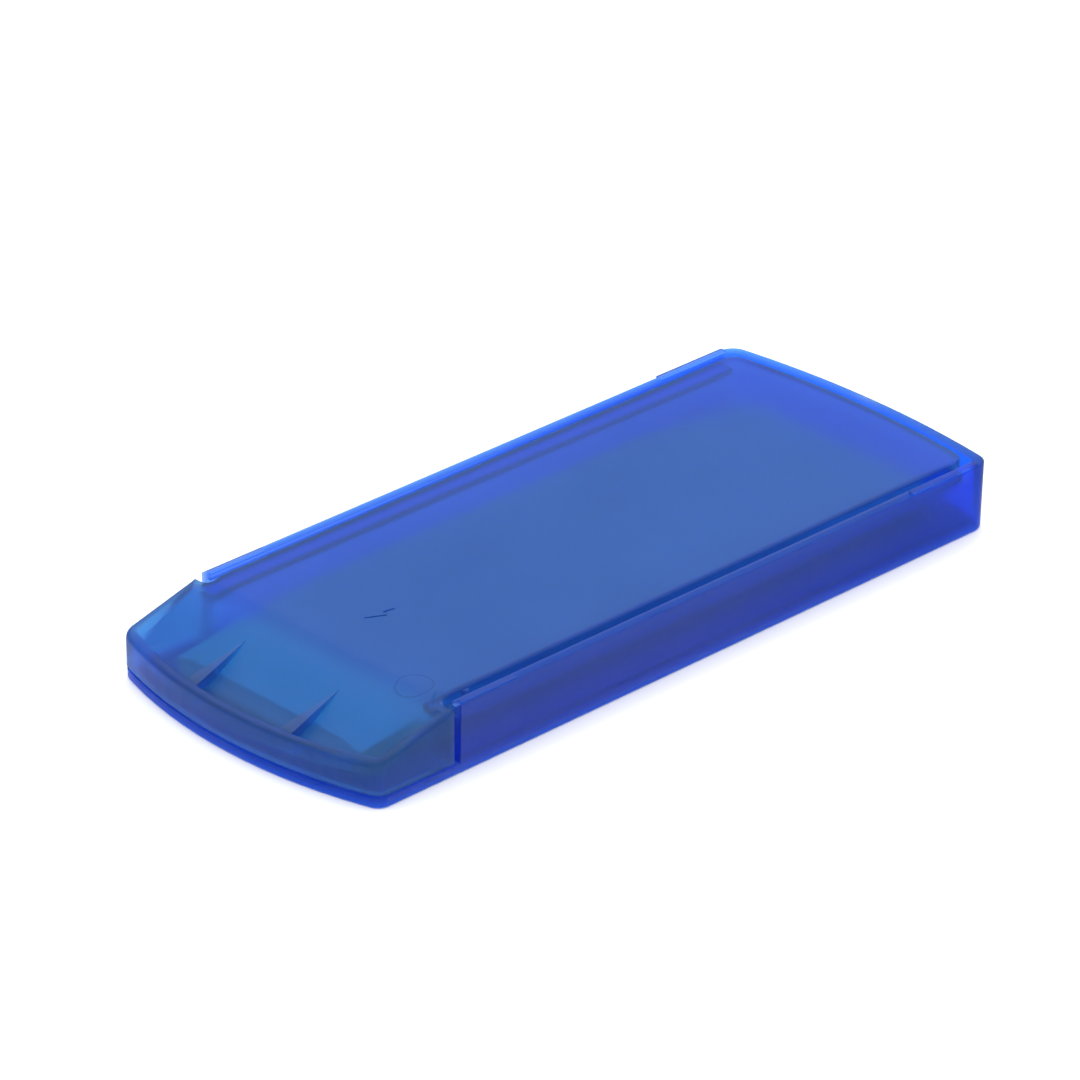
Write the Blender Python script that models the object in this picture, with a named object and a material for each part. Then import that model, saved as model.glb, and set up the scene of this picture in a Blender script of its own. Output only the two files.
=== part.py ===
"""Pocket slide case for wrapped adhesive strips.

A shallow tray with a full floor plate and a U-shaped wall, a lid whose side
tongues run in grooves inside the long walls, and five wrapped strips stacked
on the floor. X runs along the case from the thumb scoop (-X) to the closed end
(+X), Y across it and Z up. The origin is the middle of the footprint, on the
surface that the case stands on. Sizes are in millimetres, and MM turns them
into metres.
"""

import math

import bmesh
import bpy

MM = 0.001

# Overall sizes
LENGTH = 94.0
WIDTH = 39.4
RIM_HEIGHT = 8.0
LID_RISE = 0.3

# Plan outline: both ends are arcs, with a fillet at each corner
END_BOW = 1.7
NOSE_BOW = 3.3
END_CORNER = 2.0
NOSE_CORNER = 1.8
CORNER_STEPS = 6
ARC_STEPS = 20

# Tray
FLOOR = 1.2
WALL = 1.4
DRAFT = 0.2
FOOT_FILLET = 0.35
FILLET_STEPS = 4
NOSE_LENGTH = 14.4

# Groove in the inner face of each long wall, and the tongue that runs in it
GROOVE_DEPTH = 0.55
GROOVE_TOP = 0.5
TONGUE_HEIGHT = 0.85
TONGUE_ROOT = 1.1
TONGUE_START = 1.5
END_REST = 1.2

# Lid
PANEL = 1.2
SIDE_GAP = 0.85
END_GAP = 0.7
LID_CORNER = 1.6
NOSE_WALL = 1.4
NOSE_GAP = 0.95
NOSE_RIM_STEP = 0.1
RIM_SLOPE_LENGTH = 10.8
SCOOP_START = 0.5
SCOOP_FRONT_INSET = 1.6
SCOOP_LOW = 1.9
SCOOP_LIP = 1.6
SCOOP_ROLL = 0.35
SCOOP_SHEET = 1.0
SCOOP_STEPS = 14
RIB_SPACING = 14.2
RIB_WIDTH = 1.8
RIB_TIP_WIDTH = 0.2
RIB_STEPS = 6
RIB_TIP_SETBACK = 4.2
BUMP_LENGTH = 1.0
BUMP_HEIGHT = 0.35
BUMP_SETBACK = 2.6

# Wrapped strips
STRIP_COUNT = 5
STRIP_SIDE_ROOM = 4.4
STRIP_BACK_ROOM = 3.7
STRIP_TUCK = 7.7
STRIP_RAMP = 22.0
STRIP_RAMP_STEPS = 7

# Room between pieces
RUNNING_GAP = 0.3
OVERLAP = 0.2
BEYOND = 5.0

# Places worked out from the sizes above
HALF_LENGTH = LENGTH / 2
HALF_WIDTH = WIDTH / 2
NOSE_BACK = -HALF_LENGTH + NOSE_LENGTH
INNER_HALF = HALF_WIDTH - WALL
PANEL_HALF = INNER_HALF - SIDE_GAP
PANEL_TOP = RIM_HEIGHT + LID_RISE
PANEL_UNDER = PANEL_TOP - PANEL
GROOVE_HALF = INNER_HALF + GROOVE_DEPTH
GROOVE_ROOF = RIM_HEIGHT - GROOVE_TOP
TONGUE_TOP = GROOVE_ROOF - RUNNING_GAP
TONGUE_UNDER = TONGUE_TOP - TONGUE_HEIGHT
GROOVE_FLOOR = TONGUE_UNDER - RUNNING_GAP
TONGUE_HALF = GROOVE_HALF - RUNNING_GAP
LID_END_INSET = WALL + END_GAP
LID_FOOT = FLOOR + RUNNING_GAP
PANEL_FRONT = NOSE_BACK - RUNNING_GAP
LID_NOSE_BACK = NOSE_BACK - NOSE_GAP
NOSE_RIM_BACK = RIM_HEIGHT - NOSE_RIM_STEP
NOSE_RIM_FRONT = LID_FOOT + SCOOP_LOW + SCOOP_LIP
SCOOP_TOP_X = PANEL_FRONT - SCOOP_START
SCOOP_RUN = SCOOP_TOP_X + HALF_LENGTH - SCOOP_FRONT_INSET
SCOOP_DROP = PANEL_TOP - LID_FOOT - SCOOP_LOW
STACK_FOOT = FLOOR + RUNNING_GAP
STACK_TOP = PANEL_UNDER - RUNNING_GAP
STRIP_FRONT = SCOOP_TOP_X - STRIP_TUCK
STRIP_BACK = HALF_LENGTH - WALL - STRIP_BACK_ROOM
STRIP_HALF = INNER_HALF - STRIP_SIDE_ROOM


def end_arc(bow, corner, inset, side):
    """Points round one end, from -Y to +Y, with a fillet at each corner.

    side is 1 for the closed end and -1 for the nose.
    """
    half = HALF_WIDTH - inset
    radius = (HALF_WIDTH**2 + bow**2) / (2 * bow) - inset
    centre = HALF_LENGTH - inset - radius
    fillet = max(corner - inset, 0.3)
    fillet_y = half - fillet
    fillet_x = centre + math.sqrt((radius - fillet) ** 2 - fillet_y**2)
    turn = math.atan2(fillet_y, fillet_x - centre)
    points = []
    for step in range(CORNER_STEPS + 1):
        angle = -math.pi / 2 + (math.pi / 2 - turn) * step / CORNER_STEPS
        points.append((fillet_x + fillet * math.cos(angle), -fillet_y + fillet * math.sin(angle)))
    for step in range(1, ARC_STEPS):
        angle = turn * (2 * step / ARC_STEPS - 1)
        points.append((centre + radius * math.cos(angle), radius * math.sin(angle)))
    for step in range(CORNER_STEPS + 1):
        angle = turn + (math.pi / 2 - turn) * step / CORNER_STEPS
        points.append((fillet_x + fillet * math.cos(angle), fillet_y + fillet * math.sin(angle)))
    return [(side * x, side * y) for x, y in points]


def plan(inset, end_corner=END_CORNER, nose_corner=NOSE_CORNER):
    """The case's outline, moved inwards by inset, anticlockwise from above."""
    closed_end = end_arc(END_BOW, end_corner, inset, 1)
    nose_end = end_arc(NOSE_BOW, nose_corner, inset, -1)
    return closed_end + nose_end


def panel_plan():
    """The lid panel's outline: straight sides, an arc at the closed end, square at the nose."""
    inset = LID_END_INSET
    arc = end_arc(END_BOW, LID_CORNER + inset, inset, 1)
    shrink = PANEL_HALF / (HALF_WIDTH - inset)
    arc = [(x, y * shrink) for x, y in arc]
    start = SCOOP_TOP_X + OVERLAP
    return [(start, -PANEL_HALF)] + arc + [(start, PANEL_HALF)]


def new_object(name, bm, location=(0.0, 0.0, 0.0)):
    """Turn a bmesh in millimetres into an object in metres."""
    bmesh.ops.scale(bm, vec=(MM, MM, MM), verts=bm.verts)
    bmesh.ops.recalc_face_normals(bm, faces=bm.faces)
    mesh = bpy.data.meshes.new(name)
    bm.to_mesh(mesh)
    bm.free()
    obj = bpy.data.objects.new(name, mesh)
    obj.location = location
    bpy.context.scene.collection.objects.link(obj)
    return obj


def stack_rings(rings):
    """A closed solid through rings of (x, y, z) points that all have the same count."""
    bm = bmesh.new()
    loops = [[bm.verts.new(point) for point in ring] for ring in rings]
    for lower, upper in zip(loops, loops[1:]):
        for index in range(len(lower)):
            after = (index + 1) % len(lower)
            bm.faces.new((lower[index], lower[after], upper[after], upper[index]))
    bm.faces.new(list(reversed(loops[0])))
    bm.faces.new(loops[-1])
    return bm


def prism(points, low, high):
    """An upright prism over a plan outline."""
    return stack_rings([[(x, y, z) for x, y in points] for z in (low, high)])


def side_prism(profile, low_y, high_y):
    """A prism across the case from a profile of (x, z) points."""
    return stack_rings([[(x, y, z) for x, z in profile] for y in (low_y, high_y)])


def block(low, high):
    """A box between two corners."""
    corners = [(low[0], low[1]), (high[0], low[1]), (high[0], high[1]), (low[0], high[1])]
    return prism(corners, low[2], high[2])


def helper(name, bm):
    """A solid that only cuts or adds to another."""
    obj = new_object(name, bm)
    obj.hide_render = True
    obj.display_type = "WIRE"
    return obj


def combine(obj, other, operation):
    """Add or cut another solid with an exact Boolean modifier."""
    modifier = obj.modifiers.new(other.name, "BOOLEAN")
    modifier.object = other
    modifier.operation = operation
    modifier.solver = "EXACT"


def material(name, color, roughness, transmission):
    """A plastic or paper finish."""
    made = bpy.data.materials.new(name)
    made.use_nodes = True
    shader = made.node_tree.nodes["Principled BSDF"]
    shader.inputs["Base Color"].default_value = (*color, 1.0)
    shader.inputs["Roughness"].default_value = roughness
    shader.inputs["Metallic"].default_value = 0.0
    shader.inputs["Transmission Weight"].default_value = transmission
    return made


def finish(obj, look):
    """Give the object its material and smooth its round faces."""
    obj.data.materials.append(look)
    obj.data.shade_smooth()
    obj.data.set_sharp_from_angle(angle=math.radians(30))


def tray_body():
    """The tray's outer form: a filleted foot, then walls that lean out by the draft."""
    rings = []
    for step in range(FILLET_STEPS + 1):
        angle = math.pi / 2 * step / FILLET_STEPS
        z = FOOT_FILLET * (1 - math.cos(angle))
        inset = DRAFT + FOOT_FILLET * (1 - math.sin(angle))
        rings.append((z, inset))
    rings.append((RIM_HEIGHT, 0.0))
    return stack_rings([[(x, y, z) for x, y in plan(inset)] for z, inset in rings])


def base_tray(look):
    """Floor plate, two grooved side walls and the arc wall at the closed end."""
    tray = new_object("base_tray", tray_body())
    top = RIM_HEIGHT + BEYOND
    cavity = prism(plan(WALL), FLOOR, top)
    combine(tray, helper("cavity_cut", cavity), "DIFFERENCE")
    nose = block((-LENGTH, -WIDTH, FLOOR), (NOSE_BACK, WIDTH, top))
    combine(tray, helper("nose_cut", nose), "DIFFERENCE")
    groove_end = HALF_LENGTH - END_BOW - LID_END_INSET
    groove = block(
        (NOSE_BACK - BEYOND, -GROOVE_HALF, GROOVE_FLOOR),
        (groove_end, GROOVE_HALF, GROOVE_ROOF),
    )
    combine(tray, helper("groove_cut", groove), "DIFFERENCE")
    finish(tray, look)
    return tray


def scoop_height(fraction):
    """Height of the scoop's upper face: a ramp that eases out of the panel and into the front."""
    eased = fraction - SCOOP_ROLL * math.sin(2 * math.pi * fraction) / (2 * math.pi)
    return PANEL_TOP - SCOOP_DROP * eased


def scoop_profile():
    """Cross-section of the curved sheet that runs from the panel down to the front wall."""
    upper = []
    for step in range(SCOOP_STEPS + 1):
        fraction = step / SCOOP_STEPS
        upper.append((SCOOP_TOP_X - SCOOP_RUN * fraction, scoop_height(fraction)))
    upper.insert(0, (PANEL_FRONT, PANEL_TOP))
    upper.append((-HALF_LENGTH, scoop_height(1.0)))
    lower = [(x, z - SCOOP_SHEET) for x, z in reversed(upper)]
    return upper + lower


def nose_wall():
    """The wall round the nose, with its rim sloping down to the front."""
    wall = helper("nose_wall", prism(plan(DRAFT / 2), LID_FOOT, PANEL_TOP + BEYOND))
    inner = helper("nose_hollow", prism(plan(NOSE_WALL), LID_FOOT - BEYOND, PANEL_TOP + 2 * BEYOND))
    combine(wall, inner, "DIFFERENCE")
    back = block((LID_NOSE_BACK, -WIDTH, -BEYOND), (LENGTH, WIDTH, PANEL_TOP + 2 * BEYOND))
    combine(wall, helper("nose_back_cut", back), "DIFFERENCE")
    slope_end = LID_NOSE_BACK - RIM_SLOPE_LENGTH
    above = [
        (LID_NOSE_BACK + BEYOND, NOSE_RIM_BACK),
        (LID_NOSE_BACK, NOSE_RIM_BACK),
        (slope_end, NOSE_RIM_FRONT),
        (-LENGTH, NOSE_RIM_FRONT),
        (-LENGTH, PANEL_TOP + 3 * BEYOND),
        (LID_NOSE_BACK + BEYOND, PANEL_TOP + 3 * BEYOND),
    ]
    combine(wall, helper("rim_slope_cut", side_prism(above, -WIDTH, WIDTH)), "DIFFERENCE")
    return wall


def rib(side):
    """A gusset that narrows from the front wall to a point on the scoop, and stands on it."""
    front_x = SCOOP_TOP_X - SCOOP_RUN
    tip_x = SCOOP_TOP_X - RIB_TIP_SETBACK
    tip_z = scoop_height(RIB_TIP_SETBACK / SCOOP_RUN)
    front_z = NOSE_RIM_FRONT - OVERLAP
    y = side * RIB_SPACING / 2
    rings = []
    for step in range(RIB_STEPS + 1):
        along = step / RIB_STEPS
        x = front_x + (tip_x - front_x) * along
        top = front_z + (tip_z - front_z) * along
        low = scoop_height((SCOOP_TOP_X - x) / SCOOP_RUN) - SCOOP_SHEET / 2
        half = (RIB_WIDTH + (RIB_TIP_WIDTH - RIB_WIDTH) * along) / 2
        rings.append([(x, y - half, low), (x, y + half, low), (x, y + half, top), (x, y - half, top)])
    return stack_rings(rings)


def sliding_lid(look):
    """Panel, side tongues, scooped nose with its wall, two gussets and two detent bumps."""
    lid = new_object("sliding_lid", prism(panel_plan(), PANEL_UNDER, PANEL_TOP))
    tongue_end = HALF_LENGTH - END_BOW - LID_END_INSET - END_REST
    for side in (-1, 1):
        outer = side * TONGUE_HALF
        root = side * (PANEL_HALF - TONGUE_ROOT)
        tongue = block(
            (PANEL_FRONT - TONGUE_START, min(outer, root), TONGUE_UNDER),
            (tongue_end, max(outer, root), TONGUE_TOP),
        )
        combine(lid, helper("tongue_%d" % side, tongue), "UNION")
    sheet = helper("scoop_sheet", side_prism(scoop_profile(), -HALF_WIDTH, HALF_WIDTH))
    trim = helper("scoop_trim", prism(plan(NOSE_WALL - OVERLAP), -BEYOND, PANEL_TOP + BEYOND))
    combine(sheet, trim, "INTERSECT")
    combine(lid, sheet, "UNION")
    combine(lid, nose_wall(), "UNION")
    for side in (-1, 1):
        combine(lid, helper("rib_%d" % side, rib(side)), "UNION")
        bump_x = NOSE_BACK + BUMP_SETBACK
        face = side * (PANEL_HALF - OVERLAP)
        crest = side * (PANEL_HALF + BUMP_HEIGHT)
        bump = block(
            (bump_x - BUMP_LENGTH / 2, min(face, crest), TONGUE_TOP - OVERLAP),
            (bump_x + BUMP_LENGTH / 2, max(face, crest), PANEL_TOP - OVERLAP),
        )
        combine(lid, helper("bump_%d" % side, bump), "UNION")
    finish(lid, look)
    return lid


def stack_height(x):
    """Height of the stack of strips at x: full in the middle, thin at the crimped ends.

    The thin front end just clears the underside of the scoop.
    """
    scoop_under = scoop_height(STRIP_TUCK / SCOOP_RUN) - SCOOP_SHEET
    thin = scoop_under - RUNNING_GAP - STACK_FOOT
    full = STACK_TOP - STACK_FOOT
    along = min(x - STRIP_FRONT, STRIP_BACK - x) / STRIP_RAMP
    along = max(0.0, min(1.0, along))
    return thin + (full - thin) * math.sin(math.pi / 2 * along)


def wrapped_strip(index, look):
    """One wrapped strip, which follows the stack down to its thin ends."""
    ramp = [STRIP_RAMP * step / STRIP_RAMP_STEPS for step in range(STRIP_RAMP_STEPS + 1)]
    stations = [STRIP_FRONT + d for d in ramp] + [STRIP_BACK - d for d in reversed(ramp)]
    lower = []
    upper = []
    for x in stations:
        pitch = (stack_height(x) + RUNNING_GAP) / STRIP_COUNT
        low = STACK_FOOT + index * pitch
        lower.append((x, low))
        upper.append((x, low + pitch - RUNNING_GAP))
    profile = lower + list(reversed(upper))
    body = side_prism(profile, -STRIP_HALF, STRIP_HALF)
    strip = new_object("wrapped_strip_%d" % (index + 1), body)
    finish(strip, look)
    return strip


def main():
    for obj in list(bpy.data.objects):
        bpy.data.objects.remove(obj)
    base_tray(material("tray_plastic", (0.03, 0.10, 0.55), 0.45, 0.6))
    sliding_lid(material("lid_plastic", (0.05, 0.15, 0.60), 0.5, 0.6))
    for index in range(STRIP_COUNT):
        wrapped_strip(index, material("wrapper_paper_%d" % (index + 1), (0.85, 0.85, 0.82), 0.8, 0.0))


main()
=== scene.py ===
# %% [markdown]
# # A slide case for wrapped adhesive strips, in frosted blue plastic
#
# The real object is two thin injection mouldings and what they hold: a tray, a lid whose
# tongues run in grooves inside the tray's long walls, and five wrapped strips. The packed
# model gives the sizes, the bodies and the motion. This script builds the visible surfaces
# around it, one piece at a time. First it loads the frame and measures it.

# %% Load the frame
import math

import bmesh
import bpy
from mathutils import Matrix, Vector
from mathutils.geometry import intersect_point_line


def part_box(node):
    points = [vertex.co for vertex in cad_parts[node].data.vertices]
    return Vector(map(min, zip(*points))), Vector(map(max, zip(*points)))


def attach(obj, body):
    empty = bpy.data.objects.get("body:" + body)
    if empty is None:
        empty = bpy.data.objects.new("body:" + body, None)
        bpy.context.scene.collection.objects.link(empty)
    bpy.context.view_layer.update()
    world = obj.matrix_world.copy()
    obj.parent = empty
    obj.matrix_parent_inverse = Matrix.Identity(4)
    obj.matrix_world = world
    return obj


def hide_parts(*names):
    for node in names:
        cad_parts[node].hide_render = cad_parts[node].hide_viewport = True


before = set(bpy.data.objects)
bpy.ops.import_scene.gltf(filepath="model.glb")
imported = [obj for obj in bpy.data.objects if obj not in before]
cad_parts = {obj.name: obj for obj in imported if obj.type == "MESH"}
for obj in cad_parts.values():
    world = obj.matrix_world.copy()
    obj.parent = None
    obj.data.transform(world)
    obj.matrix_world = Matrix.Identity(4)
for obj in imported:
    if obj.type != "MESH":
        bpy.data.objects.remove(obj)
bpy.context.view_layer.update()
MM = 0.001

tray_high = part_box("base_tray")[1] / MM
lid_low, lid_high = (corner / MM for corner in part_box("sliding_lid"))
HALF_LENGTH = tray_high.x
HALF_WIDTH = tray_high.y
RIM = tray_high.z
PANEL_TOP = lid_high.z
LID_FOOT = lid_low.z
print("case", 2 * HALF_LENGTH, "x", 2 * HALF_WIDTH, "mm")
print("rim", RIM, "mm, lid top", PANEL_TOP, "mm")

# %% [markdown]
# ## Camera, floor and light
#
# The object is small and is seen through a long lens, so its edges stay almost parallel.
# The camera is turned 46 degrees from the long axis and looks down by 28 degrees. A small
# plastic case shows best under one large, even, white surround, because frosted plastic has
# no sharp reflections to place. The floor glows a little, like a light table, so that it
# stays white and the plastic is lit from below as well.

# %% Camera
CAMERA_TURN = math.radians(46.04)
CAMERA_TILT = math.radians(27.64)
CAMERA_ROLL = math.radians(0.17)
CAMERA_DISTANCE = 0.7358
CAMERA_LENS = 232.8
AIM_RIGHT = -2.006 * MM
AIM_UP = 6.591 * MM
SENSOR_WIDTH = 36.0
CLIP_NEAR = 0.01
CLIP_FAR = 20.0


def aim_camera():
    """Place the camera from its turn, tilt, roll and distance."""
    flat = math.cos(CAMERA_TILT)
    ahead = Vector((
        math.cos(CAMERA_TURN) * flat,
        math.sin(CAMERA_TURN) * flat,
        -math.sin(CAMERA_TILT),
    ))
    right = ahead.cross(Vector((0, 0, 1))).normalized()
    up = right.cross(ahead)
    data = bpy.data.cameras.new("camera")
    data.lens = CAMERA_LENS
    data.sensor_width = SENSOR_WIDTH
    data.clip_start = CLIP_NEAR
    data.clip_end = CLIP_FAR
    camera = bpy.data.objects.new("camera", data)
    bpy.context.scene.collection.objects.link(camera)
    aim = right * AIM_RIGHT + up * AIM_UP
    camera.location = aim - ahead * CAMERA_DISTANCE
    camera.rotation_mode = "QUATERNION"
    turned = Matrix((right, up, -ahead)).transposed().to_quaternion()
    camera.rotation_quaternion = turned @ Matrix.Rotation(CAMERA_ROLL, 3, "Z").to_quaternion()
    bpy.context.scene.camera = camera
    print("camera", [round(value, 4) for value in camera.location])


aim_camera()

# %% Floor and surround
FLOOR_HALF = 1.5
FLOOR_COLOR = (0.92, 0.92, 0.92, 1.0)
FLOOR_ROUGHNESS = 0.9
FLOOR_GLOW = 0.06
SKY_LOW = 0.25
SKY_HIGH = 1.55
SKY_TURN = 0.65
WHITE = (1.0, 1.0, 1.0, 1.0)
KEY_POWER = 1.0
KEY_SIZE = 0.5
KEY_PLACE = (0.10, 0.15, 0.60)


def lay_floor():
    """A wide pale floor that glows a little."""
    bm = bmesh.new()
    bmesh.ops.create_grid(bm, x_segments=1, y_segments=1, size=FLOOR_HALF)
    mesh = bpy.data.meshes.new("floor")
    bm.to_mesh(mesh)
    bm.free()
    floor = bpy.data.objects.new("floor", mesh)
    bpy.context.scene.collection.objects.link(floor)
    look = bpy.data.materials.new("floor_pale")
    look.use_nodes = True
    shader = look.node_tree.nodes["Principled BSDF"]
    shader.inputs["Base Color"].default_value = FLOOR_COLOR
    shader.inputs["Roughness"].default_value = FLOOR_ROUGHNESS
    shader.inputs["Specular IOR Level"].default_value = 0.0
    shader.inputs["Emission Color"].default_value = WHITE
    shader.inputs["Emission Strength"].default_value = FLOOR_GLOW
    mesh.materials.append(look)


def light_surround():
    """A white surround that is brightest overhead, and one large soft lamp."""
    world = bpy.data.worlds.new("studio")
    world.use_nodes = True
    tree = world.node_tree
    background = tree.nodes["Background"]
    background.inputs["Color"].default_value = WHITE
    place = tree.nodes.new("ShaderNodeTexCoord")
    split = tree.nodes.new("ShaderNodeSeparateXYZ")
    rise = tree.nodes.new("ShaderNodeMapRange")
    rise.interpolation_type = "SMOOTHSTEP"
    rise.inputs["From Min"].default_value = 0.0
    rise.inputs["From Max"].default_value = SKY_TURN
    rise.inputs["To Min"].default_value = SKY_LOW
    rise.inputs["To Max"].default_value = SKY_HIGH
    tree.links.new(place.outputs["Generated"], split.inputs["Vector"])
    tree.links.new(split.outputs["Z"], rise.inputs["Value"])
    tree.links.new(rise.outputs["Result"], background.inputs["Strength"])
    bpy.context.scene.world = world
    data = bpy.data.lights.new("overhead", "AREA")
    data.energy = KEY_POWER
    data.size = KEY_SIZE
    lamp = bpy.data.objects.new("overhead", data)
    lamp.location = KEY_PLACE
    lamp.rotation_euler = (-lamp.location).to_track_quat("-Z", "Y").to_euler()
    bpy.context.scene.collection.objects.link(lamp)
    bpy.context.scene.view_settings.view_transform = "Standard"


lay_floor()
light_surround()

# %% [markdown]
# ## Shared mesh helpers
#
# Both mouldings are shells with an even wall, so they are built as a moulder would draw
# them: one outline, moved inwards and up or down step by step. Blender's inset operator
# does just that when it is given a thickness and a depth. The ends of the outline are arcs,
# made by spinning one corner point round the arc's centre. Work is done in millimetres and
# scaled once at the end.

# %% Outline helpers
ARC_STEPS = 16
CORNER_STEPS = 6


def arc_chain(bm, tip, radius, half, level=0.0):
    """An arc that bulges towards tip, spun anticlockwise from one long side to the other."""
    side = 1 if tip > 0 else -1
    centre = tip - side * radius
    turn = math.asin(half / radius)
    first = bm.verts.new((centre + side * radius * math.cos(turn), -side * half, level))
    spun = bmesh.ops.spin(
        bm, geom=[first], cent=(centre, 0, level), axis=(0, 0, 1), angle=2 * turn, steps=ARC_STEPS
    )
    last = [item for item in spun["geom_last"] if isinstance(item, bmesh.types.BMVert)][0]
    return first, last


def close_outline(bm, corners):
    """Fill the outline, round the given (vertex, offset) corners and face it upwards."""
    face = bmesh.ops.contextual_create(bm, geom=bm.edges[:])["faces"][0]
    for corner, offset in corners:
        bmesh.ops.bevel(
            bm, geom=[corner], offset=offset, offset_type="OFFSET", segments=CORNER_STEPS,
            profile=0.5, affect="VERTICES", material=-1,
        )
    face = bm.faces[:][0]
    face.normal_update()
    if face.normal.z < 0:
        face.normal_flip()
    return face


def step_in(bm, face, across, along):
    """Move a face inwards by across and along its normal by along, leaving a ring behind."""
    bmesh.ops.inset_region(
        bm, faces=[face], thickness=across, depth=along, use_even_offset=True, use_boundary=True
    )


def round_over(bm, face, radius, steps, sign):
    """A quarter round: upright to flat when sign is 1, and flat to upright when it is -1."""
    for step in range(steps):
        before = math.pi / 2 * step / steps
        after = math.pi / 2 * (step + 1) / steps
        rise = radius * (math.sin(after) - math.sin(before))
        run = radius * (math.cos(before) - math.cos(after))
        if sign > 0:
            step_in(bm, face, run, rise)
        else:
            step_in(bm, face, rise, -run)


# %% Object helpers
def as_object(name, bm):
    """Turn a bmesh in millimetres into an object in metres, with its faces pointing out."""
    bmesh.ops.scale(bm, vec=(MM, MM, MM), verts=bm.verts)
    bmesh.ops.remove_doubles(bm, verts=bm.verts, dist=1e-6)
    bmesh.ops.recalc_face_normals(bm, faces=bm.faces)
    mesh = bpy.data.meshes.new(name)
    bm.to_mesh(mesh)
    bm.free()
    obj = bpy.data.objects.new(name, mesh)
    bpy.context.scene.collection.objects.link(obj)
    return obj


def combine(obj, others, operation):
    """Add or cut other solids with exact Booleans, apply the result and remove the helpers."""
    for other in others:
        modifier = obj.modifiers.new(other.name, "BOOLEAN")
        modifier.object = other
        modifier.operation = operation
        modifier.solver = "EXACT"
    graph = bpy.context.evaluated_depsgraph_get()
    graph.update()
    made = bpy.data.meshes.new_from_object(obj.evaluated_get(graph))
    obj.modifiers.clear()
    old = obj.data
    obj.data = made
    bpy.data.meshes.remove(old)
    for other in others:
        bpy.data.meshes.remove(other.data)


def block(name, low, high, bevel=0.0):
    """A box between two corners in millimetres, with its edges rounded when asked."""
    bm = bmesh.new()
    bmesh.ops.create_cube(bm, size=1.0)
    low, high = Vector(low), Vector(high)
    bmesh.ops.scale(bm, vec=high - low, verts=bm.verts)
    bmesh.ops.translate(bm, vec=(low + high) / 2, verts=bm.verts)
    if bevel:
        bmesh.ops.bevel(
            bm, geom=bm.edges[:], offset=bevel, offset_type="OFFSET", segments=2,
            profile=0.5, affect="EDGES", material=-1,
        )
    return as_object(name, bm)


def soften(obj, width, segments=2, angle=40):
    """A fine live bevel on the sharp edges, then smooth shading."""
    modifier = obj.modifiers.new("soft_edges", "BEVEL")
    modifier.width = width * MM
    modifier.segments = segments
    modifier.limit_method = "ANGLE"
    modifier.angle_limit = math.radians(angle)
    modifier.use_clamp_overlap = True
    shade(obj)


def shade(obj, angle=35):
    """Smooth shading that keeps the sharp edges."""
    obj.data.shade_smooth()
    obj.data.set_sharp_from_angle(angle=math.radians(angle))


# %% [markdown]
# ## The tray
#
# The tray is a full floor plate with a wall round three sides. The wall leans out a little
# so that the moulding could leave its tool, its foot is rounded, and its rim has small
# rounded edges. It could be a Boolean of two prisms, but then every rounding would be a
# separate job. Here the outline is filled once and walked down the outside, over the rim
# and down the inside, so each rounding is a few more steps of the same walk.

# %% Tray shell
FLOOR = 1.2
WALL = 1.4
DRAFT = 0.2
FOOT_RADIUS = 0.35
FOOT_STEPS = 5
RIM_RADIUS = 0.13
RIM_STEPS = 3
INNER_RADIUS = 0.3
INNER_SHARE = 0.3
END_RADIUS = 115.0
NOSE_RADIUS = 60.5
END_CORNER = 1.7
END_TAPER = 0.2
NOSE_CORNER = 1.28
NOSE_BACK = -32.6


def tray_shell():
    """Walk the outline down the outside, then over the rim and down to the floor."""
    bm = bmesh.new()
    level = RIM - RIM_RADIUS
    end_half = HALF_WIDTH - END_TAPER
    end_first, end_last = arc_chain(bm, HALF_LENGTH, END_RADIUS, end_half, level)
    nose_first, nose_last = arc_chain(bm, -HALF_LENGTH, NOSE_RADIUS, HALF_WIDTH, level)
    bm.edges.new((end_last, nose_first))
    bm.edges.new((nose_last, end_first))
    corners = [(end_first, END_CORNER), (end_last, END_CORNER)]
    corners += [(nose_first, NOSE_CORNER), (nose_last, NOSE_CORNER)]
    under = close_outline(bm, corners)
    under.normal_flip()
    step_in(bm, under, DRAFT, level - FOOT_RADIUS)
    round_over(bm, under, FOOT_RADIUS, FOOT_STEPS, 1)
    edges = [edge for edge in bm.edges if edge.is_boundary]
    upper = bmesh.ops.contextual_create(bm, geom=edges)["faces"][0]
    upper.normal_update()
    if upper.normal.z < 0:
        upper.normal_flip()
    round_over(bm, upper, RIM_RADIUS, RIM_STEPS, 1)
    step_in(bm, upper, WALL - 2 * RIM_RADIUS, 0.0)
    round_over(bm, upper, RIM_RADIUS, RIM_STEPS, -1)
    step_in(bm, upper, 0.0, -(RIM - RIM_RADIUS - FLOOR - INNER_RADIUS))
    short, long = INNER_RADIUS * INNER_SHARE, INNER_RADIUS * (1 - INNER_SHARE)
    step_in(bm, upper, short, -long)
    step_in(bm, upper, long, -short)
    return as_object("tray_shell", bm)


tray = tray_shell()
print("tray shell faces", len(tray.data.polygons))

# %% [markdown]
# The nose of the tray is open above the floor plate, because the lid's own nose closes it.
# A groove runs inside each long wall for the lid's tongues. Both are cut with plain blocks,
# as a cutter would leave them. Low pads stand on the rims near their ends: they keep the
# rims from scuffing. A live bevel then breaks every sharp edge.

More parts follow.
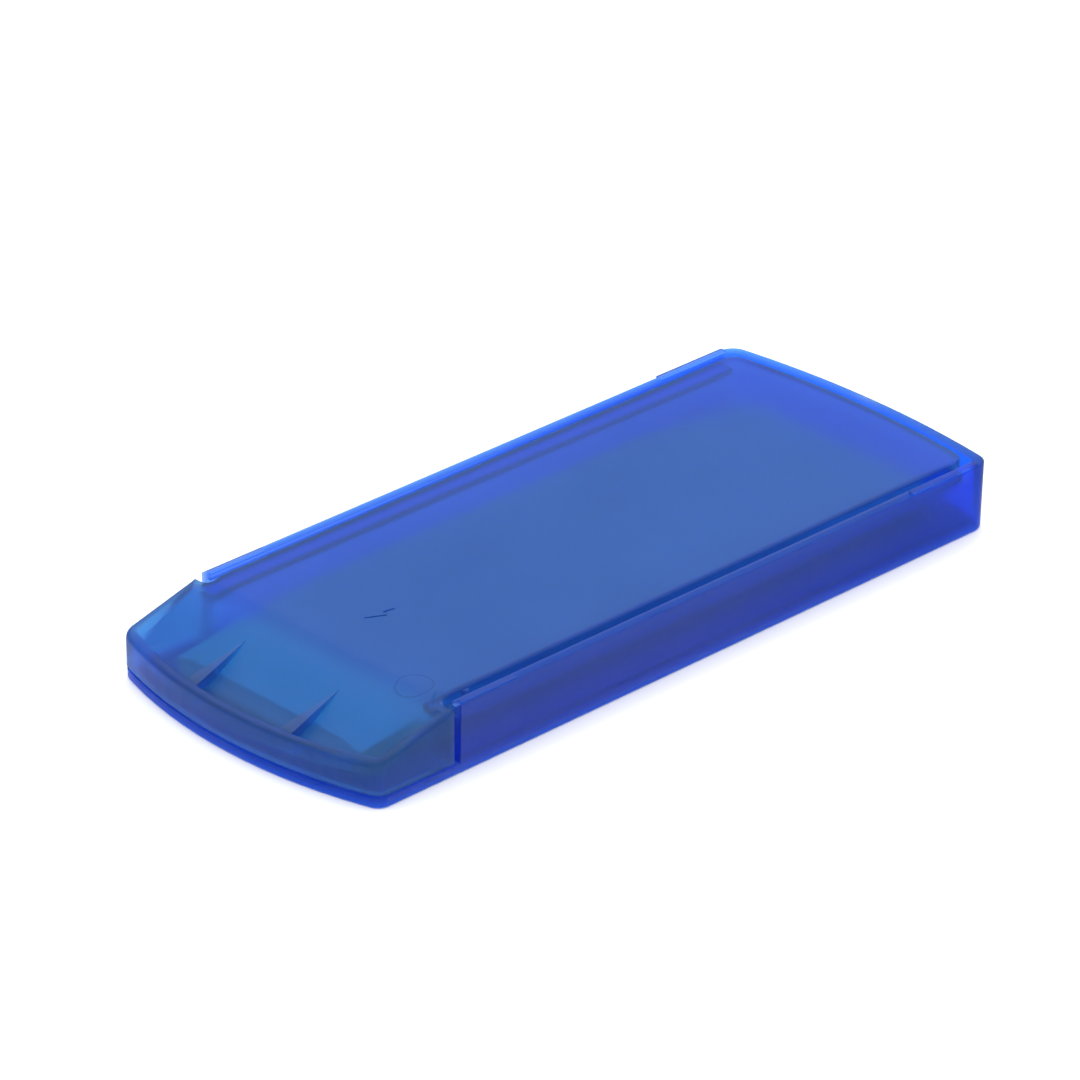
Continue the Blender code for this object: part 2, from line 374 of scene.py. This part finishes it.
# %% Tray cuts and rim pads
GROOVE_HALF = 18.85
GROOVE_START = -40.0
GROOVE_LOW = 6.05
GROOVE_HIGH = 7.5
GROOVE_END = 43.2
PAD_INSET = 0.3
PAD_WIDTH = 0.75
PAD_SINK = 0.3
PAD_ROUND = 0.05
PAD_SPANS = ((NOSE_BACK + 0.35, -24.6, 0.12), (33.5, 43.6, 0.27))
CUT_FRONT = -60.0
CUT_HALF = 30.0
CUT_ABOVE = 10.0
TRAY_EDGE = 0.14


def rim_pads():
    """Four low pads on the long rims."""
    pads = []
    for side in (-1, 1):
        near = side * (HALF_WIDTH - PAD_INSET)
        far = side * (HALF_WIDTH - PAD_INSET - PAD_WIDTH)
        for start, end, rise in PAD_SPANS:
            low = (start, min(near, far), RIM - PAD_SINK)
            high = (end, max(near, far), RIM + rise)
            pads.append(block("pad", low, high, PAD_ROUND))
    return pads


nose_cut = block(
    "nose_cut", (CUT_FRONT, -CUT_HALF, FLOOR), (NOSE_BACK, CUT_HALF, RIM + CUT_ABOVE)
)
groove_cut = block(
    "groove_cut", (GROOVE_START, -GROOVE_HALF, GROOVE_LOW), (GROOVE_END, GROOVE_HALF, GROOVE_HIGH)
)
combine(tray, [nose_cut, groove_cut], "DIFFERENCE")
combine(tray, rim_pads(), "UNION")
soften(tray, TRAY_EDGE)
print("tray faces after cuts", len(tray.data.polygons))

# %% [markdown]
# ## The lid
#
# The lid is one moulding: a flat panel, a nose with a scooped thumb rest, a wall round the
# nose that stands on the tray's floor plate, and two gussets that stiffen the scoop. The
# scoop could be sculpted, but it follows simple rules, so it is made by rule. The outline is
# extruded to a slab, rings are inset near its edge where the rim turns over, and cuts across
# the case give it points to bend at. Then each point is set to the height that the rule
# gives: the S-shaped ramp of the scoop, the crowned rim, and a soft fillet between them.

# %% Lid sizes
NOSE_INSET = 0.1
PANEL_FRONT = NOSE_BACK - 0.3
LID_NOSE_BACK = NOSE_BACK - 0.95
SHOULDER = 1.0
SHOULDER_LEAD = 0.6
SHOULDER_EASE = 1.8
PANEL_HALF = 17.45
PANEL_UNDER = 7.1
PANEL_END_INSET = 2.1
PANEL_CORNER = 1.5
NOSE_HALF = HALF_WIDTH - NOSE_INSET
NOSE_TIP = -(HALF_LENGTH - NOSE_INSET)
NOSE_WALL = 1.2
CROWN = 0.5
CROWN_FLAT = 0.35
CROWN_FALL = 4.0
RIM_BACK = 7.85
RIM_FRONT = 5.0
RIM_SLOPE = 11.0
SCOOP_TOP = -33.4
SCOOP_RUN = 12.0
SCOOP_DROP = 4.9
SCOOP_ROLL = 0.35
SCOOP_SHEET = 0.8
SCOOP_DIP = 1.3
FILLET_LEAST = 0.3
FILLET_MORE = 1.3
FILLET_RISE = 1.5
FOOT_CHAMFER = 0.2
FOOT_LEAN = 0.5
EDGE_RADIUS = 0.25
TOP_RINGS = (0.04, 0.12, 0.25, 0.42, 0.62, 0.85, 1.05, 1.22)
UNDER_RINGS = (0.06, 0.2, NOSE_WALL - 0.03, NOSE_WALL + 0.03)
SLACK = 0.01
BEND_FIRST = LID_NOSE_BACK + SHOULDER_EASE + 0.03
BEND_PITCH = 0.4
BEND_CUTS = 38
PANEL_CUTS = (-20.0, 0.0, 20.0)
LONG_PITCH = 0.5
LONG_CUTS = 36
LONG_SHIFT = 0.07


# %% Lid height rules
def ease(low, high, value):
    """Rise smoothly from 0 to 1 as value goes from low to high."""
    share = min(1.0, max(0.0, (value - low) / (high - low)))
    return share * share * (3 - 2 * share)


def soft_max(first, second, blend):
    """The larger of two heights, with a fillet of about the blend's size where they cross."""
    share = min(1.0, max(0.0, 0.5 + 0.5 * (first - second) / blend))
    return second + (first - second) * share + blend * share * (1 - share)


def scoop_height(x):
    """The middle of the scoop: it eases out of the panel and flattens towards the front."""
    share = min(1.0, max(0.0, (SCOOP_TOP - x) / SCOOP_RUN))
    eased = share - SCOOP_ROLL * math.sin(2 * math.pi * share) / (2 * math.pi)
    return PANEL_TOP - SCOOP_DROP * eased


def rim_height(x):
    """The crest of the nose wall: it slopes down from the panel to the front."""
    share = min(1.0, max(0.0, (LID_NOSE_BACK - x) / RIM_SLOPE))
    return RIM_BACK + (RIM_FRONT - RIM_BACK) * share


def edge_drop(depth):
    """How far a rounded edge lies below its flat top at this distance from the outline."""
    if depth >= EDGE_RADIUS:
        return 0.0
    return EDGE_RADIUS - math.sqrt(EDGE_RADIUS**2 - (EDGE_RADIUS - depth) ** 2)


def top_height(x, depth):
    """Height of the lid's upper face at x, a distance of depth inside its outline."""
    panel = scoop_height(x) - edge_drop(depth)
    if x > LID_NOSE_BACK + SHOULDER_EASE:
        return panel
    crest = rim_height(x)
    inner = depth - CROWN - CROWN_FLAT
    if depth < CROWN:
        crown = crest - CROWN + math.sqrt(CROWN**2 - (CROWN - depth) ** 2)
    elif inner < 0:
        crown = crest
    elif inner < CROWN:
        crown = crest - CROWN + math.sqrt(CROWN**2 - inner**2)
    else:
        crown = crest - CROWN - CROWN_FALL * (inner - CROWN)
    scoop = scoop_height(x) - max(0.0, SCOOP_DIP - depth)
    blend = FILLET_LEAST + FILLET_MORE * ease(0.0, FILLET_RISE, crest - scoop_height(x))
    nose = soft_max(crown, scoop, blend)
    back = ease(LID_NOSE_BACK - SHOULDER_LEAD, LID_NOSE_BACK + SHOULDER_EASE, x)
    return nose + (panel - nose) * back


def under_height(x, depth):
    """Height of the lid's lower face: the nose wall's foot, or the underside of the sheet."""
    if x < LID_NOSE_BACK + SLACK and depth < NOSE_WALL:
        return LID_FOOT + FOOT_LEAN * max(0.0, FOOT_CHAMFER - depth)
    return min(PANEL_UNDER, scoop_height(x) - SCOOP_SHEET)


# %% Lid slab
def distance_inside(point, walls):
    """Distance in plan from a point to the nearest stretch of the outline."""
    nearest = 1e9
    for start, end in walls:
        share = intersect_point_line(point, start, end)[1]
        share = min(1.0, max(0.0, share))
        foot = start.lerp(end, share)
        nearest = min(nearest, (point - foot).length)
    return nearest


def lid_outline(bm):
    """The lid in plan: a round closed end, straight sides, and a wider nose."""
    panel_tip = HALF_LENGTH - PANEL_END_INSET
    end_first, end_last = arc_chain(bm, panel_tip, END_RADIUS - PANEL_END_INSET, PANEL_HALF)
    nose_first, nose_last = arc_chain(bm, NOSE_TIP, NOSE_RADIUS - NOSE_INSET, NOSE_HALF)
    shoulders = []
    for start, end, side in ((end_last, nose_first, 1), (nose_last, end_first, -1)):
        inner = bm.verts.new((LID_NOSE_BACK, side * PANEL_HALF, 0))
        outer = bm.verts.new((LID_NOSE_BACK, side * NOSE_HALF, 0))
        pair = (inner, outer) if side == 1 else (outer, inner)
        bm.edges.new((start, pair[0]))
        bm.edges.new(pair)
        bm.edges.new((pair[1], end))
        shoulders.append((inner, SHOULDER))
    corners = shoulders + [(end_first, PANEL_CORNER), (end_last, PANEL_CORNER)]
    corners += [(nose_first, NOSE_CORNER), (nose_last, NOSE_CORNER)]
    return close_outline(bm, corners)


def slice_across(bm, faces, point, normal):
    """Cut these faces along a plane, to give them points to bend at."""
    edges = dict.fromkeys(edge for face in faces for edge in face.edges)
    verts = dict.fromkeys(vert for edge in edges for vert in edge.verts)
    geom = list(verts) + list(edges) + faces
    bmesh.ops.bisect_plane(bm, geom=geom, dist=1e-5, plane_co=point, plane_no=normal)


def lid_slab():
    """The panel, scoop and nose wall as one closed body."""
    bm = bmesh.new()
    upper = lid_outline(bm)
    walls = [(edge.verts[0].co.copy(), edge.verts[1].co.copy()) for edge in bm.edges]
    sides = bmesh.ops.extrude_face_region(bm, geom=[upper])
    raised = [item for item in sides["geom"] if isinstance(item, bmesh.types.BMVert)]
    bmesh.ops.translate(bm, vec=(0, 0, 1), verts=raised)
    bmesh.ops.recalc_face_normals(bm, faces=bm.faces)
    top = max(bm.faces, key=lambda face: face.calc_center_median().z)
    bottom = min(bm.faces, key=lambda face: face.calc_center_median().z)
    for face, rings in ((top, TOP_RINGS), (bottom, UNDER_RINGS)):
        done = 0.0
        for ring in rings:
            step_in(bm, face, ring - done, 0.0)
            done = ring
    cuts = [BEND_FIRST - BEND_PITCH * step for step in range(BEND_CUTS)]
    for cut in cuts + list(PANEL_CUTS):
        slice_across(bm, bm.faces[:], (cut, 0, 0), (1, 0, 0))
    nose_end = LID_NOSE_BACK + SHOULDER_EASE
    for step in range(-LONG_CUTS, LONG_CUTS + 1):
        nose = [face for face in bm.faces if face.calc_center_median().x < nose_end]
        slice_across(bm, nose, (0, LONG_PITCH * step + LONG_SHIFT, 0), (0, 1, 0))
    for vert in bm.verts:
        plan = Vector((vert.co.x, vert.co.y, 0))
        depth = distance_inside(plan, walls)
        if vert.co.z > 0.5:
            vert.co.z = top_height(vert.co.x, depth)
        else:
            vert.co.z = under_height(vert.co.x, depth)
    return as_object("lid_slab", bm)


lid = lid_slab()
print("lid slab faces", len(lid.data.polygons))


# %% [markdown]
# The tongues, gussets and detent bumps are small solids that are joined to the slab. Each
# gusset is a thin wedge in plan. Its upper edge runs straight from the scoop to the front
# rim, and its lower side follows the scoop inside the sheet, so nothing shows underneath.
# The plastic was let into the tool near the middle of the panel. Two short shallow strokes
# are cut there, close together, where the gate was trimmed off.

# %% Gussets, tongues and bumps
GUSSET_SPACING = 14.2
GUSSET_WIDTH = 1.85
GUSSET_TIP = -37.6
GUSSET_FOOT = -45.9
GUSSET_FRONT_LEVEL = 4.55
GUSSET_CUTS = 12
TONGUE_HALF = 18.55
TONGUE_LOW = 6.35
TONGUE_HIGH = 7.2
TONGUE_ROOT = 1.5
TONGUE_START = 1.5
TONGUE_END = 41.9
TONGUE_ROUND = 0.12
BUMP_X = -30.0
BUMP_RADIUS = 0.5
BUMP_LENGTH = 0.9
BUMP_SIDES = 20
BUMP_SINK = 0.15
BUMP_RISE = 0.35
GATE_WIDTH = 0.3
GATE_DEPTH = 0.12
LID_SHARP = 30
GATE_STROKES = ((-26.5, -0.37, 2.4, -27), (-24.6, -0.3, 1.4, -8))


def gusset(side):
    """One wedge between the scoop and the front wall."""
    bm = bmesh.new()
    middle = side * GUSSET_SPACING / 2
    tip = bm.verts.new((GUSSET_TIP, middle, 0))
    left = bm.verts.new((GUSSET_FOOT, middle + GUSSET_WIDTH / 2, 0))
    right = bm.verts.new((GUSSET_FOOT, middle - GUSSET_WIDTH / 2, 0))
    plan = bm.faces.new((tip, left, right))
    raised = bmesh.ops.extrude_face_region(bm, geom=[plan])["geom"]
    raised = [item for item in raised if isinstance(item, bmesh.types.BMVert)]
    bmesh.ops.translate(bm, vec=(0, 0, 1), verts=raised)
    run = GUSSET_TIP - GUSSET_FOOT
    for step in range(1, GUSSET_CUTS):
        slice_across(bm, bm.faces[:], (GUSSET_FOOT + run * step / GUSSET_CUTS, 0, 0), (1, 0, 0))
    tip_level = scoop_height(GUSSET_TIP)
    for vert in bm.verts:
        share = (vert.co.x - GUSSET_FOOT) / run
        if vert.co.z > 0.5:
            vert.co.z = GUSSET_FRONT_LEVEL + (tip_level - GUSSET_FRONT_LEVEL) * share
        else:
            vert.co.z = scoop_height(vert.co.x) - SCOOP_SHEET / 2
    return as_object("gusset", bm)


def tongue(side):
    """The long rail on the panel's edge that runs in the tray's groove."""
    root = side * (PANEL_HALF - TONGUE_ROOT)
    outer = side * TONGUE_HALF
    low = (PANEL_FRONT - TONGUE_START, min(root, outer), TONGUE_LOW)
    high = (TONGUE_END, max(root, outer), TONGUE_HIGH)
    return block("tongue", low, high, TONGUE_ROUND)


def bump(side):
    """A small upright half-round that holds the lid shut."""
    bm = bmesh.new()
    bmesh.ops.create_cone(
        bm, cap_ends=True, segments=BUMP_SIDES, radius1=BUMP_RADIUS, radius2=BUMP_RADIUS,
        depth=BUMP_LENGTH,
    )
    place = (BUMP_X, side * (PANEL_HALF - BUMP_SINK), TONGUE_HIGH + BUMP_RISE)
    bmesh.ops.translate(bm, vec=place, verts=bm.verts)
    return as_object("bump", bm)


def gate_stroke(x, y, length, turn):
    """A short shallow cut where the moulding's gate was trimmed off."""
    bm = bmesh.new()
    bmesh.ops.create_cube(bm, size=1.0)
    bmesh.ops.scale(bm, vec=(length, GATE_WIDTH, 2 * GATE_DEPTH), verts=bm.verts)
    bmesh.ops.rotate(bm, cent=(0, 0, 0), matrix=Matrix.Rotation(turn, 3, "Z"), verts=bm.verts)
    bmesh.ops.translate(bm, vec=(x, y, PANEL_TOP), verts=bm.verts)
    return as_object("gate_stroke", bm)


extras = [make(side) for make in (tongue, gusset, bump) for side in (-1, 1)]
combine(lid, extras, "UNION")
gate = [gate_stroke(x, y, length, math.radians(turn)) for x, y, length, turn in GATE_STROKES]
combine(lid, gate, "DIFFERENCE")
shade(lid, LID_SHARP)
print("lid faces", len(lid.data.polygons))

# %% [markdown]
# ## The wrapped strips
#
# Five strips in paper wrappers lie in a stack. Each wrapper is a flat pouch with a crimped
# band at both ends, and the stack thins towards its ends, where there is nothing but
# crimped paper. A cloth simulation would be too much for paper this stiff, so each pouch is
# a box with cuts along and across it, and its faces are set to the stack's height, with
# fine ridges pressed into the crimped bands and a slight swell over the pad in the middle.

# %% Strip shapes
STRIP_COUNT = 5
strip_low, strip_high = (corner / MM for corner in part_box("wrapped_strip_1"))
STRIP_FRONT, STRIP_BACK = strip_low.x, strip_high.x
STRIP_HALF = strip_high.y
STACK_FOOT = strip_low.z
STACK_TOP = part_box("wrapped_strip_5")[1].z / MM
STRIP_RAMP = 22.0
SIDE_SHARE = 0.75
SIDE_RUN = 3.0
CRIMP_LENGTH = 5.5
CRIMP_PITCH = 0.9
CRIMP_DEPTH = 0.02
CRIMP_SAMPLES = 4
STRIP_GAP = 0.12
RAMP_PITCH = 2.0
RAMP_CUTS = 8
SIDE_CUTS = (0.25, 0.7, 1.2, 1.8, 2.4, 3.0, 5.0, 9.0)
SEAM_RUN = 1.2
SEAM_SHARE = 0.35
SCOOP_ROOM = 0.15
STRIP_SHARP = 50


def stack_height(x):
    """Height of the whole stack at x, from its thin crimped ends to its full middle."""
    thin = scoop_height(STRIP_FRONT) - SCOOP_SHEET - SCOOP_ROOM - STACK_FOOT
    along = min(x - STRIP_FRONT, STRIP_BACK - x) / STRIP_RAMP
    along = min(1.0, max(0.0, along))
    return thin + (STACK_TOP - STACK_FOOT - thin) * math.sin(math.pi / 2 * along)


def wrapped_strip(index):
    """One pouch of the stack."""
    bm = bmesh.new()
    bmesh.ops.create_cube(bm, size=1.0)
    bmesh.ops.scale(bm, vec=(STRIP_BACK - STRIP_FRONT, 2 * STRIP_HALF, 1.0), verts=bm.verts)
    bmesh.ops.translate(bm, vec=((STRIP_BACK + STRIP_FRONT) / 2, 0, 0.5), verts=bm.verts)
    crimp_cuts = round(CRIMP_LENGTH / CRIMP_PITCH * CRIMP_SAMPLES)
    cuts = [CRIMP_PITCH / CRIMP_SAMPLES * step for step in range(1, crimp_cuts + 1)]
    cuts += [CRIMP_LENGTH + RAMP_PITCH * step for step in range(1, RAMP_CUTS + 1)]
    for cut in cuts:
        for x in (STRIP_FRONT + cut, STRIP_BACK - cut):
            slice_across(bm, bm.faces[:], (x, 0, 0), (1, 0, 0))
    for y in SIDE_CUTS:
        for side in (-1, 1):
            slice_across(bm, bm.faces[:], (0, side * (STRIP_HALF - y), 0), (0, 1, 0))
    for vert in bm.verts:
        x = vert.co.x
        inside = STRIP_HALF - abs(vert.co.y)
        droop = SIDE_SHARE + (1 - SIDE_SHARE) * ease(0.0, SIDE_RUN, inside)
        pitch = (stack_height(x) * droop + STRIP_GAP) / STRIP_COUNT
        end = min(x - STRIP_FRONT, STRIP_BACK - x)
        flat = SEAM_SHARE * pitch * (1 - ease(0.0, SEAM_RUN, inside))
        wave = math.sin(2 * math.pi * end / CRIMP_PITCH)
        ridge = CRIMP_DEPTH * wave * (end < CRIMP_LENGTH)
        base = STACK_FOOT + index * pitch
        if vert.co.z > 0.5:
            vert.co.z = base + pitch - STRIP_GAP - flat - max(0.0, ridge)
        else:
            vert.co.z = base + flat + max(0.0, -ridge)
    strip = as_object("wrapper_%d" % (index + 1), bm)
    shade(strip, STRIP_SHARP)
    return strip


strips = [wrapped_strip(index) for index in range(STRIP_COUNT)]
print("strip faces", len(strips[0].data.polygons))

# %% [markdown]
# ## Frosted plastic
#
# Both mouldings are blue polypropylene. Light goes in through a finely etched skin, is
# scattered, loses red and green on its way, and comes out bluer the further it has gone. So
# the shader is part milky colour and part rough glass, with an absorbing volume inside:
# thin places stay pale and thick edges turn deep blue by themselves. Fine grain roughens
# the skin, broad faint clouding breaks up the colour, and sharp edges are painted paler as
# a painted highlight. A thin ring in the lid is the mark of an ejector pin. It has no depth
# to speak of, so it is a darker line in the finish and not a shape.

# %% Node helpers
def add_node(tree, kind, **settings):
    """Add a shader node and set its properties, or its inputs by name."""
    made = tree.nodes.new(kind)
    for name, value in settings.items():
        if hasattr(made, name):
            setattr(made, name, value)
        else:
            made.inputs[name.replace("_", " ")].default_value = value
    return made


def noise(tree, place, scale, detail=4.0):
    """A noise pattern on the piece's own coordinates."""
    pattern = add_node(tree, "ShaderNodeTexNoise")
    pattern.inputs["Scale"].default_value = scale
    pattern.inputs["Detail"].default_value = detail
    tree.links.new(place.outputs["Object"], pattern.inputs["Vector"])
    return pattern.outputs["Fac"]


def spread(tree, value, low, high, start=0.0, end=1.0):
    """Map a pattern from start-end to low-high."""
    mapped = add_node(tree, "ShaderNodeMapRange")
    mapped.inputs["From Min"].default_value = start
    mapped.inputs["From Max"].default_value = end
    mapped.inputs["To Min"].default_value = low
    mapped.inputs["To Max"].default_value = high
    tree.links.new(value, mapped.inputs["Value"])
    return mapped.outputs["Result"]


def blend_color(tree, share, first, second):
    """Mix two colours by a pattern."""
    mixed = add_node(tree, "ShaderNodeMix", data_type="RGBA")
    tree.links.new(share, mixed.inputs["Factor"])
    for socket, value in ((mixed.inputs[6], first), (mixed.inputs[7], second)):
        if isinstance(value, tuple):
            socket.default_value = value
        else:
            tree.links.new(value, socket)
    return mixed.outputs[2]


# %% Plastic finish
ABSORB_COLOR = (0.10, 0.38, 0.90, 1.0)
# A paler colour that is painted on sharp edges as a painted highlight.
EDGE_HIGHLIGHT = (0.50, 0.70, 0.97, 1.0)
EDGE_HIGHLIGHT_SHARE = 0.6
EDGE_HIGHLIGHT_FROM = 0.52
EDGE_HIGHLIGHT_TO = 0.60
CLOUD_SCALE = 60.0
CLOUD_DETAIL = 3.0
CLOUD_SPAN = (0.35, 0.65)
GRAIN_SCALE = 1400.0
GRAIN_DETAIL = 2.0
GRAIN_SPAN = (0.3, 0.7)
GRAIN_ROUGH = (-0.01, 0.02)
GRAIN_STRENGTH = 0.02
GRAIN_DISTANCE = 0.00001
RING_DARK = 0.55
RING_SHARE = 0.6
RING_CORE = 0.2
LID_RING = (-33.4, -13.6, 1.95, 0.16)


def ring_mark(tree, place, x, y, radius, width):
    """A pattern that is 1 on a circle in plan and fades to 0 beside it."""
    flat = add_node(tree, "ShaderNodeVectorMath", operation="MULTIPLY")
    flat.inputs[1].default_value = (1.0, 1.0, 0.0)
    tree.links.new(place.outputs["Object"], flat.inputs[0])
    away = add_node(tree, "ShaderNodeVectorMath", operation="DISTANCE")
    away.inputs[1].default_value = (x * MM, y * MM, 0.0)
    tree.links.new(flat.outputs["Vector"], away.inputs[0])
    off = add_node(tree, "ShaderNodeMath", operation="SUBTRACT")
    off.inputs[1].default_value = radius * MM
    tree.links.new(away.outputs["Value"], off.inputs[0])
    size = add_node(tree, "ShaderNodeMath", operation="ABSOLUTE")
    tree.links.new(off.outputs["Value"], size.inputs[0])
    return spread(tree, size.outputs["Value"], 1.0, 0.0, RING_CORE * width * MM, width * MM)


def frosted_plastic(name, deep, pale, clear, rough, ior, density, ring=None):
    """Milky blue plastic with an etched skin, faint clouding and a painted edge highlight."""
    look = bpy.data.materials.new(name)
    look.use_nodes = True
    tree = look.node_tree
    shader = tree.nodes["Principled BSDF"]
    place = add_node(tree, "ShaderNodeTexCoord")
    clouds = noise(tree, place, CLOUD_SCALE, CLOUD_DETAIL)
    color = blend_color(tree, spread(tree, clouds, 0.0, 1.0, *CLOUD_SPAN), deep, pale)
    shape = add_node(tree, "ShaderNodeNewGeometry")
    # Sharp edges, picked out by pointiness, are mixed towards the painted highlight colour.
    edges = spread(tree, shape.outputs["Pointiness"], 0.0, EDGE_HIGHLIGHT_SHARE, EDGE_HIGHLIGHT_FROM, EDGE_HIGHLIGHT_TO)
    color = blend_color(tree, edges, color, EDGE_HIGHLIGHT)
    grain = noise(tree, place, GRAIN_SCALE, GRAIN_DETAIL)
    relief = grain
    if ring:
        mark = ring_mark(tree, place, *ring)
        dark = tuple(RING_DARK * value for value in deep[:3]) + (1.0,)
        color = blend_color(tree, spread(tree, mark, 0.0, RING_SHARE), color, dark)
        sunk = add_node(tree, "ShaderNodeMath", operation="SUBTRACT")
        tree.links.new(grain, sunk.inputs[0])
        tree.links.new(mark, sunk.inputs[1])
        relief = sunk.outputs["Value"]
    tree.links.new(color, shader.inputs["Base Color"])
    low, high = (rough + change for change in GRAIN_ROUGH)
    tree.links.new(spread(tree, grain, low, high, *GRAIN_SPAN), shader.inputs["Roughness"])
    bump = add_node(tree, "ShaderNodeBump")
    bump.inputs["Strength"].default_value = GRAIN_STRENGTH
    bump.inputs["Distance"].default_value = GRAIN_DISTANCE
    tree.links.new(relief, bump.inputs["Height"])
    tree.links.new(bump.outputs["Normal"], shader.inputs["Normal"])
    shader.inputs["Metallic"].default_value = 0.0
    shader.inputs["IOR"].default_value = ior
    shader.inputs["Transmission Weight"].default_value = clear
    volume = add_node(tree, "ShaderNodeVolumeAbsorption")
    volume.inputs["Color"].default_value = ABSORB_COLOR
    volume.inputs["Density"].default_value = density
    output = tree.nodes["Material Output"]
    tree.links.new(volume.outputs["Volume"], output.inputs["Volume"])
    return look


def wear(obj, look):
    """Give the object one finish."""
    obj.data.materials.clear()
    obj.data.materials.append(look)


tray_look = frosted_plastic(
    "tray_plastic_frosted", deep=(0.08, 0.36, 0.95, 1.0), pale=(0.10, 0.40, 0.97, 1.0),
    clear=0.93, rough=0.31, ior=1.13, density=1000.0,
)
lid_look = frosted_plastic(
    "lid_plastic_frosted", deep=(0.135, 0.45, 0.70, 1.0), pale=(0.155, 0.48, 0.73, 1.0),
    clear=0.93, rough=0.30, ior=1.18, density=560.0, ring=LID_RING,
)
wear(tray, tray_look)
wear(lid, lid_look)

# %% [markdown]
# ## Wrapper paper
#
# The wrappers are thin white paper with a little fibre in it. Voronoi cells would look like
# stone, so stretched noise gives the fibres, and the same noise gives the tooth that the
# light catches. Each wrapper is turned a little in tone, as sheets from a pack are.

# %% Paper finish
PAPER_WHITE = (0.88, 0.87, 0.83, 1.0)
PAPER_SHADE = (0.78, 0.76, 0.70, 1.0)
PAPER_ROUGH = (0.68, 0.82)
TONE_SPAN = 0.45
TONE_STEP = 0.05
FIBRE_SCALE = (250.0, 900.0, 900.0)
FIBRE_DETAIL = 5.0
FIBRE_SPAN = (0.35, 0.65)
FIBRE_STRENGTH = 0.3
FIBRE_DISTANCE = 0.00003


def wrapper_paper(name, shade_share):
    """Matt white paper with faint fibres."""
    look = bpy.data.materials.new(name)
    look.use_nodes = True
    tree = look.node_tree
    shader = tree.nodes["Principled BSDF"]
    place = add_node(tree, "ShaderNodeTexCoord")
    stretch = add_node(tree, "ShaderNodeMapping")
    stretch.inputs["Scale"].default_value = FIBRE_SCALE
    tree.links.new(place.outputs["Object"], stretch.inputs["Vector"])
    fibres = add_node(tree, "ShaderNodeTexNoise")
    fibres.inputs["Scale"].default_value = 1.0
    fibres.inputs["Detail"].default_value = FIBRE_DETAIL
    tree.links.new(stretch.outputs["Vector"], fibres.inputs["Vector"])
    pattern = fibres.outputs["Fac"]
    mixed = spread(tree, pattern, shade_share, shade_share + TONE_SPAN, *FIBRE_SPAN)
    tone = blend_color(tree, mixed, PAPER_WHITE, PAPER_SHADE)
    tree.links.new(tone, shader.inputs["Base Color"])
    tree.links.new(spread(tree, pattern, *PAPER_ROUGH), shader.inputs["Roughness"])
    bump = add_node(tree, "ShaderNodeBump")
    bump.inputs["Strength"].default_value = FIBRE_STRENGTH
    bump.inputs["Distance"].default_value = FIBRE_DISTANCE
    tree.links.new(fibres.outputs["Fac"], bump.inputs["Height"])
    tree.links.new(bump.outputs["Normal"], shader.inputs["Normal"])
    return look


for index, strip in enumerate(strips):
    wear(strip, wrapper_paper("wrapper_paper_%d" % (index + 1), TONE_STEP * index))

# %% [markdown]
# ## Riding on the frame
#
# The tray carries the strips, and the lid slides on its own. Each piece rides on its body
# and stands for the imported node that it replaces.

# %% Ride, replace and finish
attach(tray, "tray")
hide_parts("base_tray")
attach(lid, "lid")
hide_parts("sliding_lid")
for index, strip in enumerate(strips):
    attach(strip, "tray")
    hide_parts("wrapped_strip_%d" % (index + 1))
